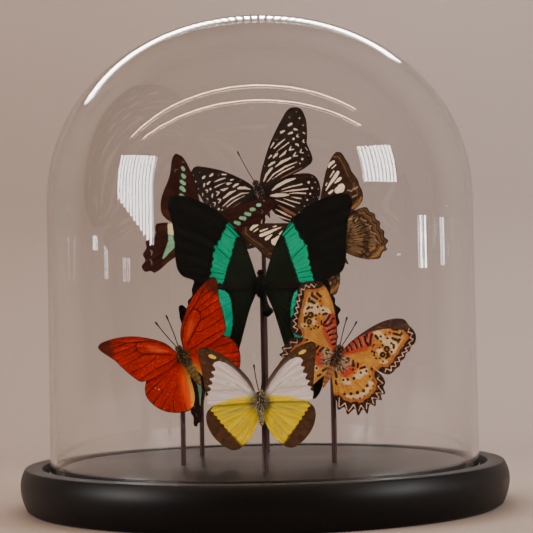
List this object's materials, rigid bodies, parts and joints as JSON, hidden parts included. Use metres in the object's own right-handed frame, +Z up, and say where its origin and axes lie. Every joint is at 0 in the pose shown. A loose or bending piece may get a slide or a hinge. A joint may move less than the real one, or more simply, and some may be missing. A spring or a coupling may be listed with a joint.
{
  "type": "mounted butterflies in a glass dome",
  "caption": "Mounted butterflies on thin wooden rods under a clear glass dome that rests in the groove of a round black wooden base.",
  "frame": {"origin": "middle of the base's underside", "axes": "+Z up, -Y towards the front of the display, +X to its right"},
  "size_m": [0.25, 0.25, 0.2515],
  "materials": {
    "black_wood": "turned wood, stained black, satin lacquer",
    "clear_glass": "clear blown glass",
    "rod_wood": "thin dowel, dark reddish-brown stain, matte",
    "body_hair": "dried insect body, short dense hair",
    "gull_wing": "scaled wing, white and yellow with brown margins",
    "orange_wing": "scaled wing, red-orange with dark veins",
    "lacewing_wing": "scaled wing, ochre with black bars, spots and zigzag margin",
    "swallowtail_wing": "scaled wing, black with a blue-green band",
    "tiger_wing": "scaled wing, dark brown with cream streaks and spots",
    "clipper_wing": "scaled wing, golden brown with white windows",
    "bluebottle_wing": "scaled wing, chestnut brown with a pale green band"
  },
  "bodies": {
    "root": {"base": "black_wood", "glass_dome": "clear_glass", "rod_gull": "rod_wood", "rod_orange": "rod_wood", "rod_lacewing": "rod_wood", "rod_swallowtail": "rod_wood", "rod_clipper": "rod_wood", "rod_bluebottle": "rod_wood", "rod_tiger": "rod_wood", "gull_body": "body_hair", "gull_forewing_left": "gull_wing", "gull_forewing_right": "gull_wing", "gull_hindwing_left": "gull_wing", "gull_hindwing_right": "gull_wing", "orange_body": "body_hair", "orange_forewing_left": "orange_wing", "orange_forewing_right": "orange_wing", "orange_hindwing_left": "orange_wing", "orange_hindwing_right": "orange_wing", "lacewing_body": "body_hair", "lacewing_forewing_left": "lacewing_wing", "lacewing_forewing_right": "lacewing_wing", "lacewing_hindwing_left": "lacewing_wing", "lacewing_hindwing_right": "lacewing_wing", "swallowtail_body": "body_hair", "swallowtail_forewing_left": "swallowtail_wing", "swallowtail_forewing_right": "swallowtail_wing", "swallowtail_hindwing_left": "swallowtail_wing", "swallowtail_hindwing_right": "swallowtail_wing", "clipper_body": "body_hair", "clipper_forewing_left": "clipper_wing", "clipper_forewing_right": "clipper_wing", "clipper_hindwing_left": "clipper_wing", "clipper_hindwing_right": "clipper_wing", "bluebottle_body": "body_hair", "bluebottle_forewing_left": "bluebottle_wing", "bluebottle_forewing_right": "bluebottle_wing", "bluebottle_hindwing_left": "bluebottle_wing", "bluebottle_hindwing_right": "bluebottle_wing", "low_bluebottle_body": "body_hair", "low_bluebottle_forewing_left": "bluebottle_wing", "low_bluebottle_forewing_right": "bluebottle_wing", "low_bluebottle_hindwing_left": "bluebottle_wing", "low_bluebottle_hindwing_right": "bluebottle_wing", "tiger_body": "body_hair", "tiger_forewing_left": "tiger_wing", "tiger_forewing_right": "tiger_wing", "tiger_hindwing_left": "tiger_wing", "tiger_hindwing_right": "tiger_wing"}
  },
  "joints": []
}
